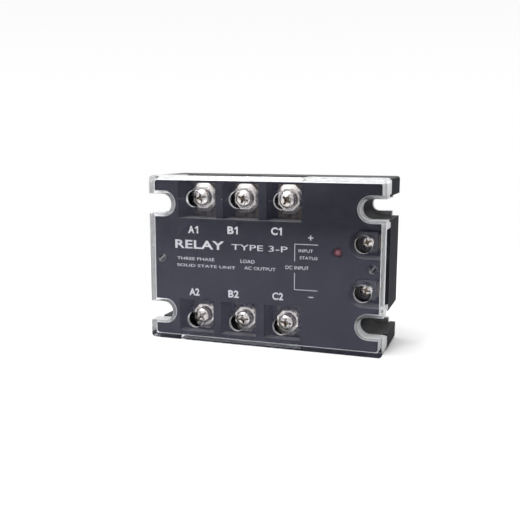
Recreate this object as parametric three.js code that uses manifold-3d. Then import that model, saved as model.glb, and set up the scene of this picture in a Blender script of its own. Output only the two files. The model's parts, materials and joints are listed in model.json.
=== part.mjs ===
// Three-phase solid state relay: a metal base plate, a moulded housing with six power
// terminals and two control terminals, the parts sealed inside it, and a clear clip-on cover.
//
// Millimetres. +X is the width, +Z is up and the relay faces -Y. The origin is on the bottom
// face, at the middle of the bounding box. Inside the relay group, y is the depth behind the
// front plane of the cover, so every layer is given by the depths of its front and its back.

import * as THREE from 'three';
import { mergeVertices } from 'three/addons/utils/BufferGeometryUtils.js';
import Module from 'manifold-3d';

const wasm = await Module();
wasm.setup();

// ---------------------------------------------------------------- driving dimensions

const WIDTH = 106;
const HEIGHT = 74;
const DEPTH = 37;

const GAP = 0.3;          // clearance between pieces that meet
const OVERCUT = 1;        // how far a cutter runs past the face that it opens
const ROUND = 16;         // segments in a small full circle
const FINE = 24;          // and in one that a screwdriver or a screw head passes
const ARC = 4;            // half the number of segments in a corner or a notch end

const MIDDLE = HEIGHT / 2;

// The four open-ended mounting notches in the left and right edges.
const NOTCH = {
  spacing: 49,            // from the lower pair to the upper pair
  centre: 46.6,           // x of the centre of each rounded end
  cover: 4.4,             // half heights of the notch in each layer
  block: 5.8,
  body: 5.1,
};

const COVER = {
  wall: 2,
  rim: 1.8,
  corner: 1.6,
  skirt: 12.5,            // how far back the rim reaches
  notchWall: 1.1,
  notchSkirt: 8,          // how far back the wall round each notch reaches
  hole: 3.7,
  wireGateFront: 5,       // the rim is cut away behind this depth where power wires come in
  controlGateFront: 3,    // and here where control wires come in
};

const PEG = {
  x: 47.8,
  radius: 1.7,
  hole: 2.05,
  slit: 0.6,
  slitAngle: 45,
  tip: 9.5,
  holeBottom: 11,
};

const HOUSING = {
  front: 2.3,
  back: 36.7,
  corner: 1.2,
  blockInset: 2.1,        // the front block steps in so that the cover can pass over it
  wall: 2.5,
  sleeve: 39.5,           // half width of the inner space between the notches
  roomRight: 36.5,        // right end of the room for the control board
  roomFront: 4.8,
  roomHalfHeight: 14.5,
  hollowFront: 23.5,      // the space behind the terminals starts here
  plateSeatCorner: 0.7,
  sideHollow: { inward: 4, outward: 3.6, halfHeight: 4.5 },   // beside the snap pegs
};

const PLATE = {
  thickness: 3,
  inset: 2.8,
  corner: 1,
  slot: 3,
  slotCentre: 44.5,
  seat: 4.6,              // half height of the sunk seat for a mounting screw's head
  seatDepth: 0.3,
};

const POWER = {
  columns: { A: -31.1, B: -11, C: 9.1 },
  fromMiddle: 27.1,       // height of a screw above or below the middle of the relay
  pocket: 16.5,           // width of the pocket round a terminal
  pocketEnd: 8.85,        // from the screw to the wall on the inner side of the pocket
  floor: 15.4,
  barrierFront: 5.3,      // the barriers of the upper row stop behind the front face
  lip: 5.9,               // from the screw to the front lip across each lower pocket
  lipBack: 7.3,
  headRadius: 3.65,       // M4
  headFront: 7.6,
  headBack: 10.4,
  shankRadius: 1.85,
  shankEnd: 20.6,
  recess: 3.8,
  recessWidth: 0.9,
  recessDepth: 1.5,
  nutFlats: 7,
  nutThickness: 3.2,
  wellBottom: 21.5,
};

const CLAMP = {
  flats: 12.7,            // octagonal plate with a raised, sloping border
  landFlats: 9.6,
  front: 10.9,
  shoulder: 11.8,
  back: 13.3,
  cup: 4.3,
  cupFloor: 12,
  hole: 2.2,
};

const WASHER = { inner: 2.15, outer: 3.45, thickness: 1, split: 0.5, splitAngle: 30 };

const BAR = {
  width: 11,
  thickness: 1.5,
  front: 13.6,
  outerEnd: 6.2,          // beyond the screw
  legHeight: 11,          // height of the upright leg above the middle of the relay
  foot: 7.5,
  back: 31.9,
  hole: 2.4,
};

const CONTROL = {
  x: 44.1,
  fromMiddle: 10.25,
  pocketRadius: 6.2,
  floor: 13,
  headRadius: 2.75,       // M3
  headFront: 8.3,
  headBack: 10.2,
  shankRadius: 1.35,
  shankEnd: 17,
  recess: 2.9,
  recessWidth: 0.7,
  recessDepth: 1,
  plate: 8.6,
  plateThickness: 0.9,
  plateHole: 1.65,
  stripWidth: 6,
  stripThickness: 1,
  stripOuterEnd: 5.9,
  stripInnerEnd: 33.5,
  stripHole: 1.75,
  nutFlats: 5.5,
  nutThickness: 2.4,
  wellBottom: 18,
};

const BOARD = { left: -36, right: 36, halfHeight: 12.5, front: 9, thickness: 1.6 };
const OPTO = { width: 7.3, height: 6.4, thickness: 3.5 };
const LED = {
  x: 33,
  z: 43,
  radius: 1.95,
  dome: [[0.7, 0.25], [1, 0.8]],   // as shares of the radius
  flange: 2.5,
  flangeHeight: 1,
  front: 2.6,
  hole: 2.3,
};
const SUBSTRATE = { width: 15, height: 38, thickness: 0.7 };
const CHIP = { side: 11, thickness: 0.5, fromMiddle: 9 };
const FIXING = {
  x: 46,
  fromMiddle: 10,
  headRadius: 2.8,
  headDepth: 1.6,
  shankRadius: 1.25,
  tip: 25,
  recess: 4,
  recessWidth: 0.7,
  recessDepth: 0.8,
};

const PAN = { rise: 0.45, crown: [[0.55, 0.25], [0.88, 0.6]] };
const TIP_TAPER = 0.7;    // radius of a screw's end, as a share of its shank's


// ---------------------------------------------------------------- helpers

// A closed three.js geometry as a solid, whichever way round it was wound.
function solid(geometry) {
  const bare = new THREE.BufferGeometry();
  bare.setAttribute('position', geometry.getAttribute('position'));
  bare.setIndex(geometry.getIndex());
  const welded = mergeVertices(bare);
  const points = welded.getAttribute('position');
  const corners = welded.getIndex().array;
  const faces = [];
  let volume = 0;
  const [a, b, c] = [0, 1, 2].map(() => new THREE.Vector3());
  for (let i = 0; i < corners.length; i += 3) {
    const [p, q, r] = [corners[i], corners[i + 1], corners[i + 2]];
    if (p === q || q === r || r === p) continue;
    faces.push([p, q, r]);
    a.fromBufferAttribute(points, p);
    b.fromBufferAttribute(points, q);
    c.fromBufferAttribute(points, r);
    volume += a.dot(b.cross(c));
  }
  const outward = volume > 0 ? faces : faces.map(([p, q, r]) => [p, r, q]);
  return new wasm.Manifold(new wasm.Mesh({
    numProp: 3,
    vertProperties: new Float32Array(points.array),
    triVerts: new Uint32Array(outward.flat()),
  }));
}

const union = (solids) => solids.reduce((sum, next) => sum.add(next));
const cut = (body, cutters) => cutters.reduce((rest, next) => rest.subtract(next), body);

// A solid as a named mesh under a group of the scene.
function addPiece(parent, name, body, material) {
  const { vertProperties, triVerts } = body.getMesh();
  const geometry = new THREE.BufferGeometry();
  geometry.setAttribute('position', new THREE.BufferAttribute(new Float32Array(vertProperties), 3));
  geometry.setIndex(new THREE.BufferAttribute(new Uint32Array(triVerts), 1));
  geometry.computeVertexNormals();
  const mesh = new THREE.Mesh(geometry, new THREE.MeshStandardMaterial(material));
  mesh.name = name;
  parent.add(mesh);
}

// A place in x and z to put pieces in, turned upside down where the pieces face the floor.
function placeAt(parent, x, z, upsideDown = false) {
  const place = new THREE.Group();
  place.position.set(x, 0, z);
  if (upsideDown) place.rotation.y = Math.PI;
  parent.add(place);
  return place;
}

// An outline in x and z, given thickness between two depths.
function slab(shape, front, back) {
  const geometry = new THREE.ExtrudeGeometry(shape, {
    depth: back - front,
    bevelEnabled: false,
    curveSegments: ARC,
  });
  geometry.rotateX(Math.PI / 2);
  geometry.translate(0, back, 0);
  return solid(geometry);
}

function box(left, right, front, back, low, high) {
  const geometry = new THREE.BoxGeometry(right - left, back - front, high - low);
  geometry.translate((left + right) / 2, (front + back) / 2, (low + high) / 2);
  return solid(geometry);
}

function cylinder(radius, front, back, x = 0, z = 0, segments = ROUND) {
  const geometry = new THREE.CylinderGeometry(radius, radius, back - front, segments);
  geometry.translate(x, (front + back) / 2, z);
  return solid(geometry);
}

// A body turned about the y axis from [radius, depth] pairs that start and end on the axis.
function turned(profile, segments = ROUND) {
  const points = profile.map(([radius, depth]) => new THREE.Vector2(radius, depth));
  return solid(new THREE.LatheGeometry(points, segments));
}

// A prism with flat faces up and down, by its size across the flats.
function prism(flats, sides, front, back) {
  const radius = flats / 2 / Math.cos(Math.PI / sides);
  const geometry = new THREE.CylinderGeometry(radius, radius, back - front, sides);
  geometry.rotateY(Math.PI / sides);
  geometry.translate(0, (front + back) / 2, 0);
  return solid(geometry);
}

const notchHeights = [MIDDLE - NOTCH.spacing / 2, MIDDLE + NOTCH.spacing / 2];

// The outline of the relay drawn in by an inset, with its corner radius and its notches.
function outline(inset, corner, notch, notchCentre = NOTCH.centre) {
  const side = WIDTH / 2 - inset;
  const low = inset;
  const high = HEIGHT - inset;
  const shape = new THREE.Shape();
  shape.moveTo(0, low);
  shape.absarc(side - corner, low + corner, corner, -Math.PI / 2, 0);
  for (const height of notch ? notchHeights : []) {
    shape.lineTo(side, height - notch);
    shape.absarc(notchCentre, height, notch, -Math.PI / 2, Math.PI / 2, true);
    shape.lineTo(side, height + notch);
  }
  shape.absarc(side - corner, high - corner, corner, 0, Math.PI / 2);
  shape.absarc(-side + corner, high - corner, corner, Math.PI / 2, Math.PI);
  for (const height of notch ? notchHeights.toReversed() : []) {
    shape.lineTo(-side, height + notch);
    shape.absarc(-notchCentre, height, notch, Math.PI / 2, -Math.PI / 2, true);
    shape.lineTo(-side, height - notch);
  }
  shape.absarc(-side + corner, low + corner, corner, Math.PI, 1.5 * Math.PI);
  shape.closePath();
  return shape;
}

// A cutter for one notch: a slot with a round inner end that runs out past the side.
function notchCutter(sideSign, height, halfHeight, front, back) {
  const round = cylinder(halfHeight, front, back, sideSign * NOTCH.centre, height, FINE);
  const outer = WIDTH / 2 + OVERCUT;
  const [left, right] = sideSign > 0 ? [NOTCH.centre, outer] : [-outer, -NOTCH.centre];
  return round.add(box(left, right, front, back, height - halfHeight, height + halfHeight));
}

// ---------------------------------------------------------------- derived positions

const powerTerminals = Object.entries(POWER.columns).flatMap(([letter, x]) => [
  { name: `${letter}1`, x, z: MIDDLE + POWER.fromMiddle, upper: true },
  { name: `${letter}2`, x, z: MIDDLE - POWER.fromMiddle, upper: false },
]);

const controlTerminals = [
  { name: 'plus', x: CONTROL.x, z: MIDDLE + CONTROL.fromMiddle },
  { name: 'minus', x: CONTROL.x, z: MIDDLE - CONTROL.fromMiddle },
];

const rowLeft = POWER.columns.A - POWER.pocket / 2;
const rowRight = POWER.columns.C + POWER.pocket / 2;
const pocketWall = POWER.fromMiddle - POWER.pocketEnd;
const plateFront = DEPTH - PLATE.thickness;
const controlReach = CONTROL.fromMiddle + CONTROL.pocketRadius;

// ---------------------------------------------------------------- materials

const CLEAR = { color: 0xe8eef2, roughness: 0.08, metalness: 0, transparent: true, opacity: 0.35 };
const CHARCOAL = { color: 0x3a3c44, roughness: 0.55, metalness: 0 };
const ALUMINIUM = { color: 0x9b9ca0, roughness: 0.4, metalness: 1 };
const NICKEL = { color: 0xc9c5bd, roughness: 0.28, metalness: 1 };
const SPRING_STEEL = { color: 0x8c8a86, roughness: 0.35, metalness: 1 };
const BRASS = { color: 0x6f6559, roughness: 0.45, metalness: 1 };
const BLACKENED_STEEL = { color: 0x505052, roughness: 0.45, metalness: 1 };
const BOARD_GREEN = { color: 0x1f5b36, roughness: 0.5, metalness: 0 };
const EPOXY_BLACK = { color: 0x1b1b1d, roughness: 0.6, metalness: 0 };
const RED_LENS = { color: 0x8a1518, roughness: 0.2, metalness: 0 };
const CERAMIC = { color: 0xe9e7e0, roughness: 0.7, metalness: 0 };
const SILICON = { color: 0x5a5d66, roughness: 0.25, metalness: 0.6 };

// ---------------------------------------------------------------- casing

// Clear cover: a front wall with a driver hole over each screw, a rim all round, a thin wall
// round each notch, and two split pegs that snap into the housing.
function frontCover() {
  const shell = slab(outline(0, COVER.corner, NOTCH.cover), 0, COVER.skirt);
  const insideNotch = NOTCH.cover + COVER.notchWall;
  const inside = slab(
    outline(COVER.rim, COVER.corner / 2, insideNotch), COVER.wall, COVER.skirt + OVERCUT);
  const deepNotches = [-1, 1].flatMap((side) => notchHeights.map((height) => notchCutter(
    side, height, NOTCH.block, COVER.notchSkirt, COVER.skirt + OVERCUT)));
  const driverHoles = [...powerTerminals, ...controlTerminals].map(({ x, z }) => cylinder(
    COVER.hole, -OVERCUT, COVER.wall + OVERCUT, x, z, FINE));
  const wireGates = [[-OVERCUT, COVER.rim + GAP], [HEIGHT - COVER.rim - GAP, HEIGHT + OVERCUT]]
    .map(([low, high]) => box(
      rowLeft, rowRight, COVER.wireGateFront, COVER.skirt + OVERCUT, low, high));
  const controlGate = box(
    WIDTH / 2 - COVER.rim - GAP, WIDTH / 2 + OVERCUT, COVER.controlGateFront,
    COVER.skirt + OVERCUT, MIDDLE - controlReach, MIDDLE + controlReach);
  const open = cut(shell, [inside, ...deepNotches, ...driverHoles, ...wireGates, controlGate]);
  return union([open, ...[-1, 1].map((side) => splitPeg(side * PEG.x))]);
}

function splitPeg(x) {
  const post = cylinder(PEG.radius, COVER.wall - GAP, PEG.tip, 0, 0);
  const reach = PEG.radius + OVERCUT;
  const slit = box(-reach, reach, COVER.wall, PEG.tip + OVERCUT, -PEG.slit / 2, PEG.slit / 2);
  return post.subtract(slit.rotate([0, -PEG.slitAngle, 0])).translate([x, 0, MIDDLE]);
}

// Moulded housing: a full-size body, a front block that steps in under the cover, pockets for
// the terminals, and an inner space that is open at the back until the base plate closes it.
function housing() {
  const notchStep = COVER.notchSkirt + GAP;
  const bodyFront = COVER.skirt + GAP;
  const layers = union([
    slab(outline(HOUSING.blockInset, HOUSING.corner, NOTCH.block), HOUSING.front, notchStep),
    slab(outline(HOUSING.blockInset, HOUSING.corner, NOTCH.body), notchStep, bodyFront),
    slab(outline(0, HOUSING.corner, NOTCH.body), bodyFront, HOUSING.back),
  ]);
  const past = HOUSING.back + OVERCUT;
  const plateSeat = slab(
    outline(HOUSING.wall, HOUSING.plateSeatCorner, 0), plateFront - GAP, past);
  const boardRoom = box(
    -HOUSING.sleeve, HOUSING.roomRight, HOUSING.roomFront, past,
    MIDDLE - HOUSING.roomHalfHeight, MIDDLE + HOUSING.roomHalfHeight);
  const hollow = box(
    -HOUSING.sleeve, HOUSING.sleeve, HOUSING.hollowFront, past,
    HOUSING.wall, HEIGHT - HOUSING.wall);
  const { inward, outward, halfHeight } = HOUSING.sideHollow;
  const sideHollows = [-1, 1].map((side) => box(
    side * NOTCH.centre - inward, side * NOTCH.centre + outward,
    CONTROL.floor + HOUSING.wall, past, MIDDLE - halfHeight, MIDDLE + halfHeight));
  const upperRecess = box(
    rowLeft, rowRight, HOUSING.front - OVERCUT, POWER.barrierFront,
    MIDDLE + pocketWall, HEIGHT + OVERCUT);
  const pegHoles = [-1, 1].map((side) => cylinder(
    PEG.hole, HOUSING.front - OVERCUT, PEG.holeBottom, side * PEG.x, MIDDLE));
  const ledHole = cylinder(
    LED.hole, HOUSING.front - OVERCUT, HOUSING.roomFront + OVERCUT, LED.x, LED.z);
  const fixingHoles = fixingPlaces().map(([x, z]) => cylinder(
    FIXING.shankRadius + GAP, FIXING.tip - GAP, past, x, z));
  return cut(layers, [
    plateSeat, boardRoom, hollow, ...sideHollows, upperRecess,
    ...powerTerminals.map(powerPocket), ...controlTerminals.map(controlPocket),
    ...pegHoles, ledHole, ...fixingHoles,
  ]);
}

// The space that one power terminal takes out of the housing: a pocket that is open to the
// front and to the nearer long edge, a well for the nut, and a slot for the contact bar. A low
// lip at the front crosses the open end of each lower pocket.
function powerPocket({ x, z, upper }) {
  const half = POWER.pocket / 2;
  const edge = HEIGHT - MIDDLE - POWER.fromMiddle + OVERCUT;
  const nutBack = POWER.floor + POWER.nutThickness + GAP;
  const space = union([
    box(-half, half, HOUSING.front - OVERCUT, POWER.floor, -POWER.pocketEnd, edge),
    prism(POWER.nutFlats + 2 * GAP, 6, POWER.floor - GAP, nutBack),
    cylinder(POWER.shankRadius + 2 * GAP, POWER.floor, POWER.wellBottom),
    box(-BAR.width / 2 - GAP, BAR.width / 2 + GAP, BAR.front - GAP, POWER.floor,
      -POWER.fromMiddle + HOUSING.roomHalfHeight - OVERCUT, 0),
  ]);
  const lip = box(-half - OVERCUT, half + OVERCUT, HOUSING.front - 2 * OVERCUT, POWER.lipBack,
    POWER.lip, edge + OVERCUT);
  return (upper ? space : space.subtract(lip).rotate([0, 180, 0])).translate([x, 0, z]);
}

// The same for a control terminal, whose pocket is open to the right edge.
function controlPocket({ x, z }) {
  const { pocketRadius, floor } = CONTROL;
  const edge = WIDTH / 2 - CONTROL.x + OVERCUT;
  const halfStrip = CONTROL.stripWidth / 2 + GAP;
  const stripFront = floor - CONTROL.stripThickness - 2 * GAP;
  const nutBack = floor + CONTROL.nutThickness + GAP;
  const space = union([
    cylinder(pocketRadius, HOUSING.front - OVERCUT, floor, 0, 0, FINE),
    box(0, edge, HOUSING.front - OVERCUT, floor, -pocketRadius, pocketRadius),
    prism(CONTROL.nutFlats + 2 * GAP, 6, floor - GAP, nutBack),
    cylinder(CONTROL.shankRadius + 2 * GAP, floor, CONTROL.wellBottom),
    box(HOUSING.roomRight - CONTROL.x - OVERCUT, 0, stripFront, floor, -halfStrip, halfStrip),
  ]);
  return space.translate([x, 0, z]);
}

function fixingPlaces() {
  return [-1, 1].flatMap((side) => [-1, 1].map((row) => [
    side * FIXING.x, MIDDLE + row * FIXING.fromMiddle]));
}

// Base plate: it carries the heat away. Its open slots take the mounting screws, and each slot
// has a shallow sunk seat for the screw's head.
function basePlate() {
  const blank = slab(
    outline(PLATE.inset, PLATE.corner, PLATE.slot, PLATE.slotCentre), plateFront, DEPTH);
  const countersinks = fixingPlaces().map(([x, z]) => turned([
    [0, plateFront - OVERCUT],
    [FIXING.shankRadius + GAP, plateFront - OVERCUT],
    [FIXING.shankRadius + GAP, DEPTH - FIXING.headDepth - GAP],
    [FIXING.headRadius + GAP, DEPTH - GAP],
    [FIXING.headRadius + GAP, DEPTH + OVERCUT],
    [0, DEPTH + OVERCUT],
  ]).translate([x, 0, z]));
  const seats = [-1, 1].flatMap((side) => notchHeights.map((height) => notchCutter(
    side, height, PLATE.seat, plateFront - OVERCUT, plateFront + PLATE.seatDepth)));
  return cut(blank, [...countersinks, ...seats]);
}

function fixingScrew() {
  const head = DEPTH - GAP;
  const half = FIXING.recess / 2;
  const halfWidth = FIXING.recessWidth / 2;
  const arm = box(-half, half, head - FIXING.recessDepth, head + OVERCUT, -halfWidth, halfWidth);
  return turned([
    [0, FIXING.tip],
    [FIXING.shankRadius * TIP_TAPER, FIXING.tip],
    [FIXING.shankRadius, FIXING.tip + 1],
    [FIXING.shankRadius, head - FIXING.headDepth],
    [FIXING.headRadius, head - GAP],
    [FIXING.headRadius, head],
    [0, head],
  ]).subtract(arm).subtract(arm.rotate([0, 90, 0]));
}

// ---------------------------------------------------------------- terminals

// A pan-head screw with a cross recess, for a size given by POWER or CONTROL. Its crown is
// given by points between the middle and the rim, as shares of the radius and of the rise.
function terminalScrew(size) {
  const crown = size.headFront;
  const rise = (size.headBack - crown) * PAN.rise;
  const body = turned([
    [0, crown],
    ...PAN.crown.map(([across, down]) => [size.headRadius * across, crown + rise * down]),
    [size.headRadius, crown + rise],
    [size.headRadius, size.headBack],
    [size.shankRadius, size.headBack],
    [size.shankRadius, size.shankEnd - size.shankRadius / 2],
    [size.shankRadius * TIP_TAPER, size.shankEnd],
    [0, size.shankEnd],
  ]);
  const half = size.recess / 2;
  const halfWidth = size.recessWidth / 2;
  const arm = box(-half, half, crown - OVERCUT, crown + size.recessDepth, -halfWidth, halfWidth);
  return body.subtract(arm).subtract(arm.rotate([0, 90, 0]));
}

// An octagonal clamp plate: its border slopes up to a land, and the screw sits in its cup.
function clampPlate() {
  const sides = 8;
  const flare = 1 / Math.cos(Math.PI / sides) / 2;
  const blank = turned([
    [0, CLAMP.front],
    [CLAMP.landFlats * flare, CLAMP.front],
    [CLAMP.flats * flare, CLAMP.shoulder],
    [CLAMP.flats * flare, CLAMP.back],
    [0, CLAMP.back],
  ], sides).rotate([0, 180 / sides, 0]);
  return cut(blank, [
    cylinder(CLAMP.cup, CLAMP.front - OVERCUT, CLAMP.cupFloor, 0, 0, FINE),
    cylinder(CLAMP.hole, CLAMP.front, CLAMP.back + OVERCUT),
  ]);
}

function springWasher() {
  const front = POWER.headBack + GAP;
  const back = front + WASHER.thickness;
  const ring = cylinder(WASHER.outer, front, back);
  const hole = cylinder(WASHER.inner, front - OVERCUT, back + OVERCUT);
  const split = box(
    0, WASHER.outer + OVERCUT, front - OVERCUT, back + OVERCUT, -WASHER.split / 2,
    WASHER.split / 2);
  return cut(ring, [hole, split.rotate([0, WASHER.splitAngle, 0])]);
}

function hexNut({ nutFlats, nutThickness, shankRadius, floor }) {
  const blank = prism(nutFlats, 6, floor, floor + nutThickness);
  const bore = cylinder(shankRadius + GAP, floor - OVERCUT, floor + nutThickness + OVERCUT);
  return blank.subtract(bore);
}

// A contact bar: flat under the clamp, then down to a foot that stands on a thyristor chip.
function contactBar() {
  const half = BAR.width / 2;
  const legOuter = BAR.legHeight + BAR.thickness - POWER.fromMiddle;
  const legInner = legOuter - BAR.thickness;
  const footEnd = legOuter - BAR.foot;
  const bar = union([
    box(-half, half, BAR.front, BAR.front + BAR.thickness, legInner, BAR.outerEnd),
    box(-half, half, BAR.front, BAR.back, legInner, legOuter),
    box(-half, half, BAR.back - BAR.thickness, BAR.back, footEnd, legOuter),
  ]);
  return bar.subtract(cylinder(BAR.hole, BAR.front - OVERCUT, BAR.front + 2 * BAR.thickness));
}

function controlClampPlate() {
  const half = CONTROL.plate / 2;
  const front = CONTROL.headBack + GAP;
  const back = front + CONTROL.plateThickness;
  return box(-half, half, front, back, -half, half)
    .subtract(cylinder(CONTROL.plateHole, front - OVERCUT, back + OVERCUT));
}

// A control strip: flat under the clamp, then forward to the back of the control board.
function controlStrip() {
  const half = CONTROL.stripWidth / 2;
  const back = CONTROL.floor - GAP;
  const front = back - CONTROL.stripThickness;
  const inner = CONTROL.stripInnerEnd - CONTROL.x;
  const boardBack = BOARD.front + BOARD.thickness + GAP;
  return box(inner, CONTROL.stripOuterEnd, front, back, -half, half)
    .add(box(inner, inner + CONTROL.stripThickness, boardBack, back, -half, half))
    .subtract(cylinder(CONTROL.stripHole, front - OVERCUT, back + OVERCUT));
}

// ---------------------------------------------------------------- sealed inner parts

function controlBoard() {
  return box(
    BOARD.left, BOARD.right, BOARD.front, BOARD.front + BOARD.thickness,
    MIDDLE - BOARD.halfHeight, MIDDLE + BOARD.halfHeight);
}

function optocoupler() {
  const back = BOARD.front - GAP;
  return box(
    -OPTO.width / 2, OPTO.width / 2, back - OPTO.thickness, back,
    -OPTO.height / 2, OPTO.height / 2);
}

function statusLed() {
  const back = BOARD.front - GAP;
  return turned([
    [0, LED.front],
    ...LED.dome.map(([across, down]) => [LED.radius * across, LED.front + LED.radius * down]),
    [LED.radius, back - LED.flangeHeight],
    [LED.flange, back - LED.flangeHeight],
    [LED.flange, back],
    [0, back],
  ]);
}

function substrate() {
  const back = plateFront - GAP;
  return box(
    -SUBSTRATE.width / 2, SUBSTRATE.width / 2, back - SUBSTRATE.thickness, back,
    -SUBSTRATE.height / 2, SUBSTRATE.height / 2);
}

function thyristorChip() {
  const back = plateFront - 2 * GAP - SUBSTRATE.thickness;
  const half = CHIP.side / 2;
  return box(-half, half, back - CHIP.thickness, back, -half, half);
}

// ---------------------------------------------------------------- assembly

const group = new THREE.Group();
const relay = new THREE.Group();
relay.position.y = -DEPTH / 2;
group.add(relay);

addPiece(relay, 'base_plate', basePlate(), ALUMINIUM);
addPiece(relay, 'housing', housing(), CHARCOAL);
addPiece(relay, 'front_cover', frontCover(), CLEAR);

for (const { name, x, z, upper } of powerTerminals) {
  const terminal = placeAt(relay, x, z, !upper);
  addPiece(terminal, `screw_${name}`, terminalScrew(POWER), NICKEL);
  addPiece(terminal, `spring_washer_${name}`, springWasher(), SPRING_STEEL);
  addPiece(terminal, `clamp_plate_${name}`, clampPlate(), NICKEL);
  addPiece(terminal, `contact_bar_${name}`, contactBar(), BRASS);
  addPiece(terminal, `nut_${name}`, hexNut(POWER), NICKEL);
}

for (const { name, x, z } of controlTerminals) {
  const terminal = placeAt(relay, x, z);
  addPiece(terminal, `screw_${name}`, terminalScrew(CONTROL), NICKEL);
  addPiece(terminal, `clamp_plate_${name}`, controlClampPlate(), BLACKENED_STEEL);
  addPiece(terminal, `control_strip_${name}`, controlStrip(), BRASS);
  addPiece(terminal, `nut_${name}`, hexNut(CONTROL), NICKEL);
}

addPiece(relay, 'control_board', controlBoard(), BOARD_GREEN);
addPiece(placeAt(relay, LED.x, LED.z), 'status_led', statusLed(), RED_LENS);

for (const [letter, x] of Object.entries(POWER.columns)) {
  const phase = placeAt(relay, x, MIDDLE);
  addPiece(phase, `optocoupler_${letter}`, optocoupler(), EPOXY_BLACK);
  addPiece(phase, `substrate_${letter}`, substrate(), CERAMIC);
}

for (const { name, x, upper } of powerTerminals) {
  const height = MIDDLE + (upper ? CHIP.fromMiddle : -CHIP.fromMiddle);
  addPiece(placeAt(relay, x, height), `thyristor_${name}`, thyristorChip(), SILICON);
}

fixingPlaces().forEach(([x, z], index) => {
  addPiece(placeAt(relay, x, z), `rear_screw_${index + 1}`, fixingScrew(), NICKEL);
});

export default group;
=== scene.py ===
"""Solid state relay: fine meshes, materials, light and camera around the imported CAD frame."""

import json
from math import cos, pi, radians, sin, sqrt
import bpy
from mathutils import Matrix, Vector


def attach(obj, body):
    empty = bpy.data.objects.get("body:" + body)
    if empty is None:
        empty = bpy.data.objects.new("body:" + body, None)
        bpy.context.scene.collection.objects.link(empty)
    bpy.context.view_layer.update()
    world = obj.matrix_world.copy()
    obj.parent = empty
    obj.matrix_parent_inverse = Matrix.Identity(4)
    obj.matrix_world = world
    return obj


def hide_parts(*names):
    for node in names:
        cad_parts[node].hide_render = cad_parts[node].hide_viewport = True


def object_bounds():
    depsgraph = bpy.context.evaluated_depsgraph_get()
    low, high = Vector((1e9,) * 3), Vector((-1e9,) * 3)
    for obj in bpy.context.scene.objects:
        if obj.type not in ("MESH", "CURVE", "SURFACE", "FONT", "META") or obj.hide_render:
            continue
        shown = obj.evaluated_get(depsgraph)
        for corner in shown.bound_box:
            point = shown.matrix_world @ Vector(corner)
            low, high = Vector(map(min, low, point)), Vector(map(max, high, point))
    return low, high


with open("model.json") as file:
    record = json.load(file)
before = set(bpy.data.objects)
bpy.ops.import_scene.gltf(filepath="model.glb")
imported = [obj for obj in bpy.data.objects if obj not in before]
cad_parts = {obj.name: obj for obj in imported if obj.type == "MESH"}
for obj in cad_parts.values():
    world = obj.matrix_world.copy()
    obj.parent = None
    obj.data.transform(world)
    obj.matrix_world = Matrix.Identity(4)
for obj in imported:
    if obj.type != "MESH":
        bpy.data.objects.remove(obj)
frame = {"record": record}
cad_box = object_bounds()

from types import SimpleNamespace as Sizes

import bmesh
import bpy
from mathutils import Matrix, Vector

# ---------------- driving dimensions
# Lengths are in millimetres up to the point where a mesh is placed in the scene. A depth is
# the distance behind the plane of the cover's front face, as in the CAD model.

MM = 0.001
GAP = 0.3                     # clearance between neighbouring pieces
TOUCH = 0.01                  # clearance between small parts that rest on each other
OVERCUT = 1                   # how far a cutter runs out past what it cuts
THREAD_DEPTH = 0.55           # as a share of the thread's pitch

lowest, highest = (corner / MM for corner in cad_box)
WIDTH, DEPTH, HEIGHT = highest - lowest
FRONT = lowest.y
MIDDLE = HEIGHT / 2

NOTCH = Sizes(spacing=49, centre=46.6, cover=4.4, block=5.8, body=5.1)
NOTCH_HEIGHTS = [MIDDLE - NOTCH.spacing / 2, MIDDLE + NOTCH.spacing / 2]

COVER = Sizes(wall=2, rim=1.8, corner=1.6, edge=0.5, inner_edge=0.3, skirt=12.5, notch_wall=1.1,
              notch_skirt=8, hole=3.7, wire_gate=5, control_gate=3)
LEAD_IN = Sizes(reach=1.5, depth=2.6, inside=0.05, ahead=0.09, past=0.01)
WELD_LINE = Sizes(lengths=(3.6, 3.4, 2), depth=0.18, half_height=0.16)
PEG = Sizes(x=47.8, radius=1.7, hole=2.05, slit=0.6, slit_angle=45, tip=9.5, tip_radius=1.3,
            lip=1.9, lip_start=7.7, lip_front=8.1, lip_back=8.4, hole_bottom=11)
HOUSING = Sizes(front=2.3, back=36.7, corner=1.2, inset=2.1, wall=2.5, sleeve=39.5,
                room_right=36.5, room_front=4.8, room_half_height=14.5, hollow_front=23.5)
SIDE_HOLLOW = Sizes(inner=4, outer=3.6, half_height=4.5)
PLATE = Sizes(thickness=3, inset=2.8, corner=1, room_corner=0.7, slot=3, slot_centre=44.5,
              seat=4.6, seat_depth=0.3)
# Each terminal's sizes include the radius of the painted shade in its screw's recess.
POWER = Sizes(columns=dict(A=-31.1, B=-11, C=9.1), from_middle=27.1, pocket=16.5,
              pocket_end=8.85, floor=15.4, barrier_front=5.3, lip=5.9, lip_back=7.3, pitch=0.7,
              head_radius=3.65, head_front=7.6, head_back=10.4, shank_radius=1.85,
              shank_end=20.6, recess=4.3, recess_width=0.95, recess_depth=1.7, grime=2.6,
              nut_flats=7, nut_thickness=3.2, well_bottom=21.5)
CONTROL = Sizes(x=44.1, from_middle=10.25, pocket_radius=6.2, floor=13, pitch=0.5,
                head_radius=2.75, head_front=8.3, head_back=10.2, shank_radius=1.35,
                shank_end=17, recess=3.2, recess_width=0.75, recess_depth=1.2, grime=1.9,
                plate=8.6, plate_thickness=0.9, plate_hole=1.65, strip_width=6,
                strip_thickness=1, strip_outer=5.9, strip_inner=33.5, strip_hole=1.75,
                nut_flats=5.5, nut_thickness=2.4, well_bottom=18)
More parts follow.
